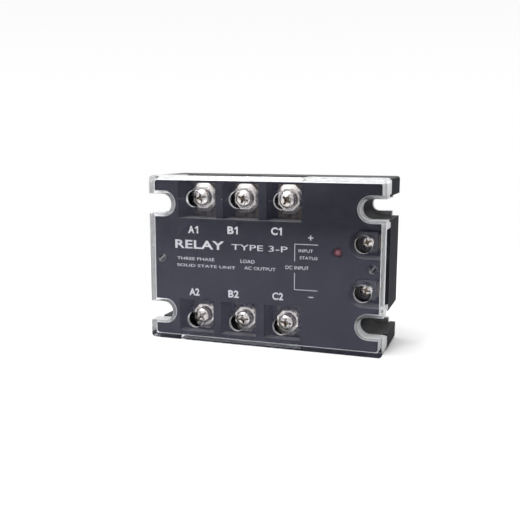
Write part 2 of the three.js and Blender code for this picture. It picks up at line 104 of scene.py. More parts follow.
SCREW = Sizes(dome=1.15, edge=0.12, neck=0.3, neck_length=0.6, cross_mouth=-0.1,
              cross_floor=0.14, slot_depth=0.9, slot_reach=1.25, slot_taper=0.05,
              cone_mouth=0.62, cone_bottom=0.5, cone_start=0.5, cone_point=0.25)
CLAMP = Sizes(flats=12.7, land_flats=9.6, front=10.9, shoulder=11.8, back=13.3, cup=4.3,
              cup_floor=12, hole=2.2, grooves=(-4.6, -3.4, 3.4, 4.6), groove=0.3,
              groove_depth=0.3)
CONTROL_CLAMP = Sizes(corner=0.8, grooves=(-3.1, -2.3, 2.3, 3.1), groove=0.25, groove_depth=0.2)
WASHER = Sizes(inner=2.15, outer=3.45, corner=0.1, front=10.55, thickness=0.85, rise=0.4,
               split=12)
NUT_CHAMFER = Sizes(face=0.97, depth=0.45)
BAR = Sizes(width=11, thickness=1.5, front=13.6, outer_end=6.2, leg_height=11, foot=7.5,
            back=31.9, hole=2.4)
BOARD = Sizes(half_width=36, half_height=12.5, front=9, thickness=1.6, corner=1.5,
              drill=0.5, drill_columns=(-5.5, 5.5), drill_rows=(-9, 0, 9))
BOARD_PART = Sizes(from_phase=7.2, widths={-1: 3.2, 1: 2}, heights=(-7.5, -2.5, 2.5, 7.5),
                   half_height=0.8, thickness=0.9, edge=0.15)
OPTO = Sizes(width=7.3, height=6.4, thickness=3.5, corner=0.3, front_draft=0.5, back_draft=0.35)
DIMPLE = Sizes(from_left=1.6, from_top=1.5, radius=0.5, depth=0.2)
LEG = Sizes(rows=(-2.2, 0, 2.2), front=6.8, thickness=0.25, reach=0.9, root=0.2,
            half_width=0.5, foot_half_width=0.3)
LED = Sizes(x=33, z=43, radius=1.95, edge=0.1, flange=2.5, flange_height=1, front=2.6, hole=2.3)
SUBSTRATE = Sizes(width=15, height=38, thickness=0.7, corner=0.6)
CHIP = Sizes(side=11, thickness=0.5, from_middle=9, corner=0.4, bevel=0.35, edge=0.1)
FIXING = Sizes(x=46, from_middle=10, head_radius=2.8, head_depth=1.6, shank_radius=1.25, tip=25,
               pitch=0.5, neck_length=0.4, edge=0.1, recess_reach=2, recess_half_width=0.35,
               recess_depth=1.1, recess_mouth=-0.05, recess_floor=0.3)

# The width of the rounding on the edges of each part.
SOFT = Sizes(cover=0.18, housing=0.22, base_plate=0.2, screw=0.05, clamp=0.14, bar=0.3,
             control_clamp=0.1, strip=0.2, board=0.08, optocoupler=0.12, substrate=0.06)

PLATE_FRONT = DEPTH - PLATE.thickness
ROW_LEFT = POWER.columns["A"] - POWER.pocket / 2
ROW_RIGHT = POWER.columns["C"] + POWER.pocket / 2
POCKET_WALL = POWER.from_middle - POWER.pocket_end
CONTROL_REACH = CONTROL.from_middle + CONTROL.pocket_radius

POWER_TERMINALS = [
    Sizes(name=f"{letter}{row}", x=x, z=MIDDLE + side * POWER.from_middle, side=side)
    for letter, x in POWER.columns.items() for row, side in ((1, 1), (2, -1))]
CONTROL_TERMINALS = [
    Sizes(name=name, x=CONTROL.x, z=MIDDLE + side * CONTROL.from_middle, side=1)
    for name, side in (("plus", 1), ("minus", -1))]
PHASES = [Sizes(name=letter, x=x, z=MIDDLE, side=1) for letter, x in POWER.columns.items()]
CHIPS = [Sizes(name=t.name, x=t.x, z=MIDDLE + t.side * CHIP.from_middle, side=1)
         for t in POWER_TERMINALS]
FIXINGS = [
    Sizes(name=name, x=side * FIXING.x, z=MIDDLE + row * FIXING.from_middle, side=1)
    for name, side, row in (("1", -1, -1), ("2", -1, 1), ("3", 1, -1), ("4", 1, 1))]

# How far each screw and washer happens to be turned, in degrees.
POWER_DRIVE_TURNS = [12, 38, -20, 5, 55, -8]
CONTROL_DRIVE_TURNS = [20, -15]
FIXING_DRIVE_TURNS = [10, 50, -25, 33]
WASHER_TURNS = [30, 140, 75, 200, 310, 10]


# ---------------- outlines
# An outline is a list of (x, z) points that runs anticlockwise as seen from the front.

def arc(x, z, radius, start, end, steps):
    angles = [radians(start + (end - start) * i / steps) for i in range(steps + 1)]
    return [(x + radius * cos(a), z + radius * sin(a)) for a in angles]


def polygon(radius, sides, x=0, z=0, start=0):
    return arc(x, z, radius, start, start + 360 * (sides - 1) / sides, sides - 1)


def hexagon(flats):
    return polygon(flats / sqrt(3), 6)


def rectangle(left, right, low, high, corner=0, steps=5):
    if not corner:
        return [(left, low), (right, low), (right, high), (left, high)]
    return [
        *arc(right - corner, low + corner, corner, -90, 0, steps),
        *arc(right - corner, high - corner, corner, 0, 90, steps),
        *arc(left + corner, high - corner, corner, 90, 180, steps),
        *arc(left + corner, low + corner, corner, 180, 270, steps)]


def centred(half_width, half_height, corner=0, x=0, z=0):
    return rectangle(x - half_width, x + half_width, z - half_height, z + half_height, corner)


def relay_outline(inset, corner, notch=0, notch_centre=NOTCH.centre, notch_steps=24):
    """The outline of the relay drawn in by an inset, with its four notches if it has them."""
    side, low, high = WIDTH / 2 - inset, inset, HEIGHT - inset
    right = arc(side - corner, low + corner, corner, -90, 0, 6)
    for height in NOTCH_HEIGHTS if notch else ():
        right.append((side, height - notch))
        right += arc(notch_centre, height, notch, 270, 90, notch_steps)
        right.append((side, height + notch))
    right += arc(side - corner, high - corner, corner, 0, 90, 6)
    return right + mirrored(right)


def mirrored(outline):
    return [(-x, z) for x, z in reversed(outline)]


def notch_cutter_outline(side, height, half_height):
    """A slot with a round inner end that runs out past the relay's side."""
    outer = WIDTH / 2 + OVERCUT
    right = [*arc(NOTCH.centre, height, half_height, 90, 270, 32),
             (outer, height - half_height), (outer, height + half_height)]
    return right if side > 0 else mirrored(right)


def cross(reach, half_width):
    quarter = [(reach, -half_width), (reach, half_width), (half_width, half_width)]
    turns = [(1, 0), (0, 1), (-1, 0), (0, -1)]
    return [(x * c - z * s, x * s + z * c) for c, s in turns for x, z in quarter]


def dome(radius, front, height, steps=10):
    """The (radius, depth) points of a rounded front, from the axis to its rim."""
    angles = [pi / 2 * i / steps for i in range(steps + 1)]
    return [(radius * sin(a), front + height * (1 - cos(a))) for a in angles]


def drawn_in(outline, distance):
    """Every side of the outline moved towards its left, which is into the material."""
    moved = []
    for i, (x, z) in enumerate(outline):
        here = Vector((x, z))
        before = (here - Vector(outline[i - 1])).normalized()
        after = (Vector(outline[(i + 1) % len(outline)]) - here).normalized()
        normal_1, normal_2 = Vector((-before.y, before.x)), Vector((-after.y, after.x))
        step = (normal_1 + normal_2) / max(1 + normal_1.dot(normal_2), 0.3)
        moved.append((x + step.x * distance, z + step.y * distance))
    return moved


# ---------------- solids

def new_object(name, bm):
    mesh = bpy.data.meshes.new(name)
    bmesh.ops.recalc_face_normals(bm, faces=bm.faces)
    bm.to_mesh(mesh)
    bm.free()
    return linked(bpy.data.objects.new(name, mesh))


def linked(obj):
    bpy.context.scene.collection.objects.link(obj)
    return obj


def skin(bm, sections):
    """Faces through a row of sections, each a list of (x, depth, z) points.

    It gives back the first and the last ring of vertices.
    """
    rings = [[bm.verts.new((x, FRONT + depth, z)) for x, depth, z in section]
             for section in sections]
    for near, far in zip(rings, rings[1:]):
        for i in range(len(near)):
            bm.faces.new((near[i - 1], near[i], far[i], far[i - 1]))
    return rings[0], rings[-1]


def stacked(sections):
    """A closed solid through a row of sections."""
    bm = bmesh.new()
    for end in skin(bm, sections):
        bm.faces.new(end)
    return new_object("stacked", bm)


def loft(outline, levels):
    """A closed solid through copies of an outline, each level an (inset, depth) pair."""
    bm = bmesh.new()
    sections = [[(x, depth, z) for x, z in drawn_in(outline, inset)] for inset, depth in levels]
    for end in skin(bm, sections):
        edges = [bm.edges.get((end[i - 1], end[i])) for i in range(len(end))]
        bmesh.ops.triangle_fill(bm, use_beauty=True, use_dissolve=False, edges=edges)
    return new_object("loft", bm)


def slab(outline, front, back, round_front=0, steps=4):
    """An outline given thickness, with its front edges rounded."""
    levels = [(0, front), (0, back)]
    if round_front:
        angles = [pi / 2 * i / steps for i in range(steps + 1)]
        levels = [(round_front * (1 - sin(a)), front + round_front * (1 - cos(a)))
                  for a in angles] + [(0, back)]
    return loft(outline, levels)


def box(left, right, front, back, low, high):
    return slab(rectangle(left, right, low, high), front, back)


def notch_cutters(half_height, front, back):
    """A cutter for each of the four mounting notches."""
    return [slab(notch_cutter_outline(side, height, half_height), front, back)
            for side in (-1, 1) for height in NOTCH_HEIGHTS]


def bar(left, right, section):
    """A prism that runs along the width, from (depth, z) points of its section."""
    return stacked([[(x, depth, z) for depth, z in section] for x in (left, right)])


def cylinder(x, z, radius, front, back, sides=48):
    return slab(polygon(radius, sides, x, z), front, back)


def turned(profile, sides=48):
    """A body turned about the depth axis from (radius, depth) pairs, from axis to axis."""
    bm = bmesh.new()
    rings = []
    for radius, depth in profile:
        points = polygon(radius, sides) if radius else [(0, 0)]
        rings.append([bm.verts.new((x, FRONT + depth, z)) for x, z in points])
    for near, far in zip(rings, rings[1:]):
        for here in range(sides):
            before = (here - 1) % sides
            corners = [near[before % len(near)], near[here % len(near)],
                       far[here % len(far)], far[before % len(far)]]
            bm.faces.new(list(dict.fromkeys(corners)))
    return new_object("turned", bm)


def threaded_rod(radius, pitch, front, back, sides=32, rings_per_pitch=8):
    """A right-hand thread as one closed skin whose radius follows the helix."""
    count = round((back - front) / pitch * rings_per_pitch)
    sections = []
    for i in range(count + 1):
        depth = front + (back - front) * i / count
        taper = min(1, (back - depth) / pitch)
        sections.append([])
        for j in range(sides):
            angle = 2 * pi * j / sides
            phase = (depth / pitch + j / sides) % 1
            ridge = abs(2 * phase - 1) * taper
            r = radius - THREAD_DEPTH * pitch * (1 - ridge)
            sections[-1].append((r * cos(angle), depth, r * sin(angle)))
    return stacked(sections)


def moved(obj, matrix):
    obj.data.transform(matrix)
    if matrix.determinant() < 0:
        obj.data.flip_normals()
    return obj


def spun(obj, degrees):
    """The solid turned about the depth axis, anticlockwise as seen from the front."""
    return moved(obj, Matrix.Rotation(radians(-degrees), 4, "Y"))


def at(obj, x, z):
    return moved(obj, Matrix.Translation((x, 0, z)))


def baked(obj):
    """The mesh of an object as its modifiers leave it."""
    bpy.context.view_layer.update()
    shown = obj.evaluated_get(bpy.context.evaluated_depsgraph_get())
    return bpy.data.meshes.new_from_object(shown)


def apply_modifiers(obj):
    mesh = baked(obj)
    obj.modifiers.clear()
    obj.data = mesh
    return obj


def add_modifier(obj, kind, **settings):
    modifier = obj.modifiers.new(kind, kind)
    for name, value in settings.items():
        setattr(modifier, name, value)


def combine(body, others, operation):
    for other in others:
        add_modifier(body, "BOOLEAN", operation=operation, solver="MANIFOLD", object=other)
    apply_modifiers(body)
    for other in others:
        bpy.data.objects.remove(other)
    return body


def cut(body, *cutters):
    return combine(body, cutters, "DIFFERENCE")


def union(body, *others):
    return combine(body, others, "UNION")


def joined(objects):
    """Separate solids as one mesh."""
    bm = bmesh.new()
    for obj in objects:
        bm.from_mesh(obj.data)
        bpy.data.objects.remove(obj)
    return new_object("joined", bm)


def softened(obj, width, segments=2, sharper_than=30):
    """Merges coplanar faces and rounds every edge that turns by more than an angle."""
    bm = bmesh.new()
    bm.from_mesh(obj.data)
    bmesh.ops.remove_doubles(bm, verts=bm.verts, dist=0.004)
    bmesh.ops.dissolve_limit(
        bm, angle_limit=radians(0.5), verts=bm.verts, edges=bm.edges, delimit=set())
    bm.to_mesh(obj.data)
    bm.free()
    add_modifier(obj, "BEVEL", width=width, segments=segments, limit_method="ANGLE",
                 angle_limit=radians(sharper_than), miter_outer="MITER_ARC",
                 use_clamp_overlap=True)
    return apply_modifiers(obj)


# ---------------- pieces


def place(obj, name, material, body, replaces=(), x=0, z=0, turn=0):
    """Names a finished solid, scales it to metres, and hands it to the frame."""
    obj.name = name
    obj.data.name = name
    obj.data.transform(Matrix.Scale(MM, 4))
    obj.data.shade_smooth()
    obj.data.set_sharp_from_angle(angle=radians(38))
    add_modifier(obj, "WEIGHTED_NORMAL", keep_sharp=True)
    apply_modifiers(obj)
    obj.data.materials.clear()
    obj.data.materials.append(SURFACES[material].material)
    return stand(obj, material, body, replaces, x, z, turn)


def stand(obj, material, body, replaces=(), x=0, z=0, turn=0):
    """Sets a piece in its place and on its body."""
    obj.location = (x * MM, 0, z * MM)
    obj.rotation_euler.y = radians(-turn)
    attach(obj, body)
    if replaces:
        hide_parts(*replaces)
    return obj


def body_of(node):
    bodies = frame["record"]["behaviour"]["bodies"]
    return next(body for body, nodes in bodies.items() if node in nodes)


def repeat(build, stem, material, terminals, turns=None):
    """One mesh, set at every terminal that has such a node."""
    first = None
    for index, t in enumerate(terminals):
        node = f"{stem}_{t.name}"
        turn = (0 if t.side > 0 else 180) + (turns[index] if turns else 0)
        setting = (material, body_of(node), [node], t.x, t.z, turn)
        if first is None:
            first = place(build(), f"{node}_fine", *setting)
        else:
            stand(linked(bpy.data.objects.new(f"{node}_fine", first.data)), *setting)


# ---------------- material nodes

class Nodes:
    """Short calls for the nodes of a material or of the world."""

    def __init__(self, tree):
        self.tree = tree

    def node(self, kind, **inputs):
        return self.fill(self.tree.nodes.new("ShaderNode" + kind), **inputs)

    def fill(self, node, **inputs):
        for name, value in inputs.items():
            self.feed(node.inputs[name.replace("_", " ")], value)
        return node

    def feed(self, socket, value):
        """Links a socket to another, or sets its value. A colour gets its alpha here."""
        if isinstance(value, bpy.types.NodeSocket):
            self.tree.links.new(value, socket)
        else:
            socket.default_value = (*value, 1) if socket.type == "RGBA" else value

    def part(self, vector, axis):
        return self.node("SeparateXYZ", Vector=vector).outputs[axis]

    def spread(self, value, low, high, to_low=0.0, to_high=1.0, smooth=False):
        """Maps a value from one range to another, and holds it within the second."""
        made = self.node("MapRange", Value=value, From_Min=low, From_Max=high,
                         To_Min=to_low, To_Max=to_high)
        made.interpolation_type = "SMOOTHSTEP" if smooth else "LINEAR"
        return made.outputs["Result"]

    def math(self, operation, *values):
        made = self.node("Math")
        made.operation = operation
        for socket, value in zip(made.inputs, values):
            self.feed(socket, value)
        return made.outputs[0]

    def times(self, first, second):
        return self.math("MULTIPLY", first, second)

    def plus(self, first, second):
        return self.math("ADD", first, second)

    def rest(self, share):
        """What is left of one when a share is taken away."""
        return self.math("SUBTRACT", 1.0, share)

    def length(self, first, second):
        """The length of a vector with these two parts."""
        squares = [self.math("POWER", value, 2.0) for value in (first, second)]
        return self.math("SQRT", self.plus(*squares))

    def mix(self, share, first, second):
        """A blend of two colours, which sit in sockets 6 and 7 of the node."""
        made = self.node("Mix")
        made.data_type = "RGBA"
        for index, value in ((0, share), (6, first), (7, second)):
            self.feed(made.inputs[index], value)
        return made.outputs[2]


class Surface(Nodes):
    """A Principled material with short calls for what its detail is made of."""

    def __init__(self, name, color, roughness, metallic=0.0, **inputs):
        self.material = bpy.data.materials.new(name)
        self.material.use_nodes = True
        self.material.diffuse_color = (*color, 1)
        super().__init__(self.material.node_tree)
        self.shader = self.tree.nodes["Principled BSDF"]
        self.set(Base_Color=color, Roughness=roughness, Metallic=metallic, **inputs)
        self.place = self.node("TexCoord").outputs["Object"]
        self.last_bump = None

    def set(self, **inputs):
        self.fill(self.shader, **inputs)

    def scaled(self, x=1.0, y=1.0, z=1.0):
        """Object coordinates in millimetres, stretched along each axis."""
        scale = (x / MM, y / MM, z / MM)
        return self.node("Mapping", Vector=self.place, Scale=scale).outputs["Vector"]

    def noise(self, size, detail=3.0, roughness=0.55, stretch=(1, 1, 1)):
        """Noise whose features are about so many millimetres across."""
        vector = self.scaled(*(s / size for s in stretch))
        return self.node("TexNoise", Vector=vector, Scale=1.0, Detail=detail,
                         Roughness=roughness).outputs["Fac"]

    def clouds(self, size, detail, low, high, to_low=0.0, to_high=1.0):
        """Soft patches: noise with the range from low to high spread out."""
        return self.spread(self.noise(size, detail), low, high, to_low, to_high)

    def cells(self, size, randomness=1.0):
        vector = self.scaled(1 / size, 1 / size, 1 / size)
        return self.node("TexVoronoi", Vector=vector, Scale=1.0,
                         Randomness=randomness).outputs["Distance"]

    def bump(self, height, depth, strength=1.0):
        """Adds relief whose full height is so many millimetres."""
        made = self.node("Bump", Height=height, Strength=strength, Distance=depth * MM)
        if self.last_bump:
            self.fill(made, Normal=self.last_bump)
        self.last_bump = made.outputs["Normal"]
        self.set(Normal=self.last_bump)

    def facing(self, axis):
        """The part of the surface's normal that lies along an axis."""
        return self.part(self.node("NewGeometry").outputs["Normal"], axis)

    def facing_up(self):
        """1 where the surface faces up, where dust settles and light from above is painted."""
        return self.spread(self.facing("Z"), 0.3, 0.95)

    def standing_in_depth(self):
        """1 on walls that run front to back, 0 on faces that look to the front or the back."""
        return self.spread(self.math("ABSOLUTE", self.facing("Y")), 0.2, 0.5, 1, 0)

    def depth(self):
        """Distance behind the plane of the cover's front, in millimetres."""
        return self.math("SUBTRACT", self.part(self.scaled(), "Y"), FRONT)

    def from_axis(self):
        """Distance from the depth axis of the piece, in millimetres."""
        return self.length(self.part(self.scaled(), "X"), self.part(self.scaled(), "Z"))

    def let_lamps_through(self):
        """Light sources shine through clear plastic instead of casting a dark shadow."""
        choice = self.node("MixShader", Fac=self.node("LightPath").outputs["Is Shadow Ray"])
        self.feed(choice.inputs[1], self.shader.outputs[0])
        self.feed(choice.inputs[2], self.node("BsdfTransparent").outputs[0])
        self.fill(self.tree.nodes["Material Output"], Surface=choice.outputs[0])


# ---------------- materials

def charcoal_plastic():
    """Moulded, slightly bluish charcoal with a fine spark-eroded grain, and up-facing surfaces
    lightened partly by settled dust and partly by painted light from above.
    """
    s = Surface("charcoal_plastic", (0.018, 0.0185, 0.0225), 0.5, Specular_IOR_Level=0.01)
    grain = s.noise(0.16, 2)
    tone = s.mix(s.clouds(9, 4, 0.35, 0.65), (0.0155, 0.016, 0.02), (0.0205, 0.021, 0.026))
    tone = s.mix(s.clouds(0.4, 2, 0.68, 0.8, 0, 0.15), tone, (0.035, 0.036, 0.042))
    # Painted light: up-facing surfaces are painted lighter, partly dust and partly the light that
    # falls on them from above.
    dust_and_top_light = s.times(s.facing_up(), s.clouds(0.9, 4, 0.35, 0.7, 0.33, 0.46))
    s.set(Base_Color=s.mix(dust_and_top_light, tone, (0.2, 0.2, 0.2)))
    s.set(Roughness=s.spread(grain, 0.3, 0.7, 0.44, 0.6))
    s.bump(grain, 0.003, 0.4)
    s.bump(s.noise(6, 2), 0.02, 0.15)
    return s


def clear_plastic():
    """Clear plastic: a polished front wall and foot, and finely frosted walls, ends and pegs.

    The polished part has faint flow waves, hairline scratches and fingermarks.
    """
    s = Surface("clear_plastic", (0.985, 0.99, 1.0), 0.03, Transmission_Weight=1.0, IOR=1.46,
                Specular_Tint=(0.4, 0.4, 0.56))
    scratches = s.plus(s.spread(s.noise(0.9, 2, stretch=(0.03, 1, 1)), 0.68, 0.74),
                       s.spread(s.noise(1.1, 2, stretch=(1, 1, 0.04)), 0.7, 0.76))
    polished = s.plus(s.math("MULTIPLY_ADD", scratches, 0.06, 0.02),
                      s.clouds(14, 5, 0.5, 0.8, 0, 0.05))
    behind = s.spread(s.depth(), COVER.wall + 0.2, COVER.wall + 0.4)
    above_foot = s.spread(s.part(s.scaled(), "Z"), COVER.rim, COVER.rim + 1)
    frosted = s.times(s.math("MAXIMUM", s.standing_in_depth(), behind), above_foot)
    frost = s.clouds(0.35, 3, 0.3, 0.7, 0.35, 0.6)
    s.set(Roughness=s.plus(s.times(frost, frosted), s.times(polished, s.rest(frosted))))
    bloom = s.times(frosted, s.spread(s.noise(0.6, 4, 0.7), 0.35, 0.65, 0.08, 0.4))
    s.set(Transmission_Weight=s.rest(bloom))
    s.bump(s.noise(11, 1), 0.015, 0.2)
    s.bump(scratches, 0.002, 0.3)
    s.let_lamps_through()
    return s


def nickel(name="nickel", screw=None):
    """Nickel plating over turned steel: rings left by the tool, fine scratches and grey bloom.

    Inside a screw's recess the plating is painted dark brown, as painted shade.
    """
    tint = (0.76, 0.715, 0.69)
    s = Surface(name, tint, 0.3, metallic=1.0)
    bloom = s.clouds(1.3, 5, 0.4, 0.7)
    plating = s.mix(bloom, tint, tuple(0.78 * value for value in tint))
    if screw:
        # Painted shade: deep in the middle of the recess the plating is painted dark brown, with
        # cloudy variation.
        start = screw.head_front + 0.4
        deep = s.spread(s.depth(), start, start + 0.25)
        central = s.spread(s.from_axis(), screw.grime, screw.grime + 0.15, 1, 0)
        grime = s.mix(s.clouds(0.6, 4, 0.35, 0.65), (0.09, 0.065, 0.045), (0.3, 0.24, 0.19))
        plating = s.mix(s.times(deep, central), plating, grime)
    s.set(Base_Color=plating, Roughness=s.spread(bloom, 0, 1, 0.24, 0.42))
    outward = s.node("CombineXYZ", X=s.times(s.from_axis(), 9.0)).outputs[0]
    rings = s.node("TexNoise", Vector=outward, Scale=1.0, Detail=2.0).outputs["Fac"]
    s.bump(rings, 0.012, 0.5)
    s.bump(s.noise(0.12, 2, stretch=(1, 1, 0.08)), 0.006, 0.4)
    return s


def spring_steel():
    s = Surface("spring_steel", (0.33, 0.32, 0.31), 0.38, metallic=1.0)
    bloom = s.clouds(0.9, 4, 0.35, 0.7)
    s.set(Base_Color=s.mix(bloom, (0.36, 0.35, 0.34), (0.22, 0.2, 0.185)))
    s.set(Roughness=s.clouds(0.3, 3, 0.3, 0.7, 0.3, 0.5))
    s.bump(s.noise(0.15, 2, stretch=(1, 0.1, 1)), 0.01, 0.5)
    return s


def blackened_steel():
    # Painted shade: the control clamp plates are painted near black, as they sit in shade deep in
    # their pockets; the lighter clouds are wear.
    s = Surface("blackened_steel", (0.08, 0.08, 0.085), 0.4, metallic=1.0)
    worn = s.clouds(0.8, 5, 0.55, 0.75)
    s.set(Base_Color=s.mix(worn, (0.06, 0.06, 0.065), (0.2, 0.195, 0.19)))
    s.set(Roughness=s.clouds(0.3, 3, 0.3, 0.7, 0.34, 0.52))
    s.bump(s.noise(0.16, 2, stretch=(0.1, 1, 1)), 0.008, 0.5)
    return s


def aluminium_plate():
    """Milled aluminium, painted a darker grey as painted shade: lines along the width, darker oxide
    clouds and a few rubbed spots.
    """
    # Painted shade: the metal is painted a moderately dark grey, for a plate that sits in shade.
    s = Surface("aluminium_plate", (0.42, 0.42, 0.43), 0.42, metallic=1.0)
    lines = s.noise(0.22, 3, stretch=(0.02, 1, 1))
    oxide = s.clouds(11, 4, 0.35, 0.75)
    s.set(Base_Color=s.mix(oxide, (0.46, 0.46, 0.465), (0.36, 0.355, 0.35)))
    s.set(Roughness=s.plus(s.spread(lines, 0.3, 0.7, 0.26, 0.44), s.spread(oxide, 0, 1, 0, 0.06)))
    s.bump(lines, 0.02, 0.8)
    s.bump(s.spread(s.cells(2.4), 0, 0.12, 1, 0), 0.01, 0.25)
    return s


def brass():
    # Painted shade: the brass is painted nearly black, as the contact bars and control strips sit
    # deep in shade in their pockets; the clouds between the two tones are tarnish.
    s = Surface("brass", (0.16, 0.13, 0.1), 0.4, metallic=1.0)
    tarnish_and_shade = s.clouds(2.1, 5, 0.42, 0.72)
    s.set(Base_Color=s.mix(tarnish_and_shade, (0.1, 0.082, 0.066), (0.04, 0.033, 0.028)))
    s.set(Roughness=s.spread(tarnish_and_shade, 0, 1, 0.34, 0.55))
    s.bump(s.noise(0.14, 2, stretch=(0.06, 1, 1)), 0.008, 0.5)
    return s


def red_lens():
    """An unlit red lamp: tinted resin, with a painted highlight that makes the middle paler."""
    s = Surface("red_lens", (0.14, 0.012, 0.018), 0.14, Transmission_Weight=0.15, IOR=1.5)
    # Painted highlight: the middle of the dome is painted paler.
    near = s.spread(s.from_axis(), 0.0, 1.0, 1, 0)
    swirl = s.noise(0.7, 3)
    body = s.mix(s.spread(swirl, 0.3, 0.7), (0.1, 0.008, 0.012), (0.17, 0.02, 0.026))
    s.set(Base_Color=s.mix(s.times(near, 0.4), body, (0.28, 0.14, 0.17)))
    s.set(Roughness=s.spread(swirl, 0.3, 0.7, 0.1, 0.24))
    s.bump(s.noise(0.5, 2), 0.01, 0.2)
    return s


def circuit_board():
    """Green solder resist over copper tracks, with the weave of the glass cloth below it."""
    s = Surface("circuit_board", (0.02, 0.12, 0.05), 0.35)
    tracks = s.spread(s.cells(3.1, 0.35), 0.34, 0.38)
    cloth = s.noise(0.35, 1)
    base = s.mix(s.spread(cloth, 0.3, 0.7), (0.012, 0.085, 0.035), (0.02, 0.12, 0.05))
    s.set(Base_Color=s.mix(tracks, (0.04, 0.2, 0.075), base))
    s.set(Roughness=s.spread(cloth, 0.3, 0.7, 0.25, 0.42))
    s.bump(tracks, 0.03, 0.5)
    return s


def epoxy():
    s = Surface("epoxy", (0.016, 0.016, 0.017), 0.5)
    grain = s.noise(0.12, 3)
    tone = s.clouds(1.5, 3, 0.35, 0.7)
    s.set(Base_Color=s.mix(tone, (0.012, 0.012, 0.013), (0.024, 0.024, 0.026)))
    s.set(Roughness=s.spread(grain, 0.3, 0.7, 0.42, 0.62))
    s.bump(grain, 0.015, 0.5)
    return s


def ceramic():
    s = Surface("ceramic", (0.82, 0.8, 0.76), 0.5)
    grain = s.noise(0.25, 4)
    tone = s.clouds(3, 4, 0.4, 0.7)
    s.set(Base_Color=s.mix(tone, (0.84, 0.82, 0.78), (0.74, 0.715, 0.66)))
    s.set(Roughness=s.spread(grain, 0.3, 0.7, 0.45, 0.65))
    s.bump(grain, 0.008, 0.5)
    return s


def silicon():
    s = Surface("silicon", (0.13, 0.14, 0.17), 0.25, metallic=0.6)
    stain = s.clouds(2.2, 4, 0.4, 0.7)
    s.set(Base_Color=s.mix(stain, (0.13, 0.14, 0.18), (0.2, 0.19, 0.2)))
    s.set(Roughness=s.spread(stain, 0, 1, 0.2, 0.38))
    s.bump(s.noise(0.3, 2), 0.004, 0.4)
    return s


def white_ink():
    """Screen-printed ink: thin in places, with a slightly rough edge."""
    s = Surface("white_ink", (0.8, 0.8, 0.8), 0.5)
    thin = s.clouds(0.35, 4, 0.4, 0.75)
    s.set(Base_Color=s.mix(thin, (0.55, 0.55, 0.57), (0.33, 0.33, 0.35)))
    s.set(Roughness=s.spread(thin, 0, 1, 0.4, 0.6))
    s.bump(s.noise(0.2, 2), 0.006, 0.5)
    return s


SURFACES = {build.__name__: build() for build in (
    charcoal_plastic, clear_plastic, nickel, aluminium_plate, spring_steel, blackened_steel,
    brass, red_lens, circuit_board, epoxy, ceramic, silicon, white_ink)}
SURFACES["power_screw"] = nickel("nickel_power_screw", POWER)
SURFACES["control_screw"] = nickel("nickel_control_screw", CONTROL)


# ---------------- casing

def clear_cover():
    """Front wall with driver holes, a rim all round, notch walls and two split snap pegs."""
    shell = slab(relay_outline(0, COVER.corner, NOTCH.cover), 0, COVER.skirt,
                 round_front=COVER.edge)
    inside_notch = NOTCH.cover + COVER.notch_wall
    inside_outline = relay_outline(COVER.rim, COVER.corner / 2, inside_notch)
    past = COVER.skirt + OVERCUT
    inside = slab(inside_outline, COVER.wall, past, round_front=COVER.inner_edge)
    slope = loft(relay_outline(COVER.rim, COVER.corner / 2), [
        (LEAD_IN.inside, COVER.skirt - LEAD_IN.depth - LEAD_IN.ahead),
        (-LEAD_IN.reach, COVER.skirt + LEAD_IN.past),
        (-LEAD_IN.reach, past)])
    lead_in = cut(slope, box(-WIDTH, WIDTH, -OVERCUT, DEPTH, -OVERCUT, 2 * COVER.rim))
    deep_notches = notch_cutters(NOTCH.block, COVER.notch_skirt, past)
    holes = [cylinder(t.x, t.z, COVER.hole, -OVERCUT, COVER.wall + OVERCUT, sides=64)
             for t in POWER_TERMINALS + CONTROL_TERMINALS]
    weld_lines = [
        box(t.x - COVER.hole - length, t.x - COVER.hole + GAP, -OVERCUT, WELD_LINE.depth,
            t.z - WELD_LINE.half_height, t.z + WELD_LINE.half_height)
        for t, length in zip(POWER_TERMINALS[::2], WELD_LINE.lengths)]
    edge = COVER.rim + GAP
    gates = [
        box(ROW_LEFT, ROW_RIGHT, COVER.wire_gate, past, -OVERCUT, edge),
        box(ROW_LEFT, ROW_RIGHT, COVER.wire_gate, past, HEIGHT - edge, HEIGHT + OVERCUT),
        box(WIDTH / 2 - edge, WIDTH / 2 + OVERCUT, COVER.control_gate, past,
            MIDDLE - CONTROL_REACH, MIDDLE + CONTROL_REACH)]
    rim_inside = HEIGHT - COVER.rim
    slope_start, slope_end = COVER.wire_gate - LEAD_IN.depth, COVER.wire_gate + GAP
    gate_slope = bar(ROW_LEFT, ROW_RIGHT, [
        (slope_start, rim_inside - LEAD_IN.past), (slope_end, rim_inside + LEAD_IN.reach),
        (slope_end, rim_inside - GAP), (slope_start, rim_inside - GAP)])
    shell = cut(shell, inside, lead_in, gate_slope, *deep_notches, *holes, *weld_lines, *gates)
    shell = union(shell, *(at(split_peg(), side * PEG.x, MIDDLE) for side in (-1, 1)))
    return softened(shell, SOFT.cover)


def split_peg():
    """A round post with a snap lip near its tip, split down the middle."""
    post = turned([
        (0, COVER.wall - GAP), (PEG.radius, COVER.wall - GAP), (PEG.radius, PEG.lip_start),
        (PEG.lip, PEG.lip_front), (PEG.lip, PEG.lip_back), (PEG.tip_radius, PEG.tip),
        (0, PEG.tip)])
    reach = PEG.radius + OVERCUT
    slit = slab(centred(reach, PEG.slit / 2), COVER.wall + GAP, PEG.tip + OVERCUT)
    return cut(post, spun(slit, PEG.slit_angle))


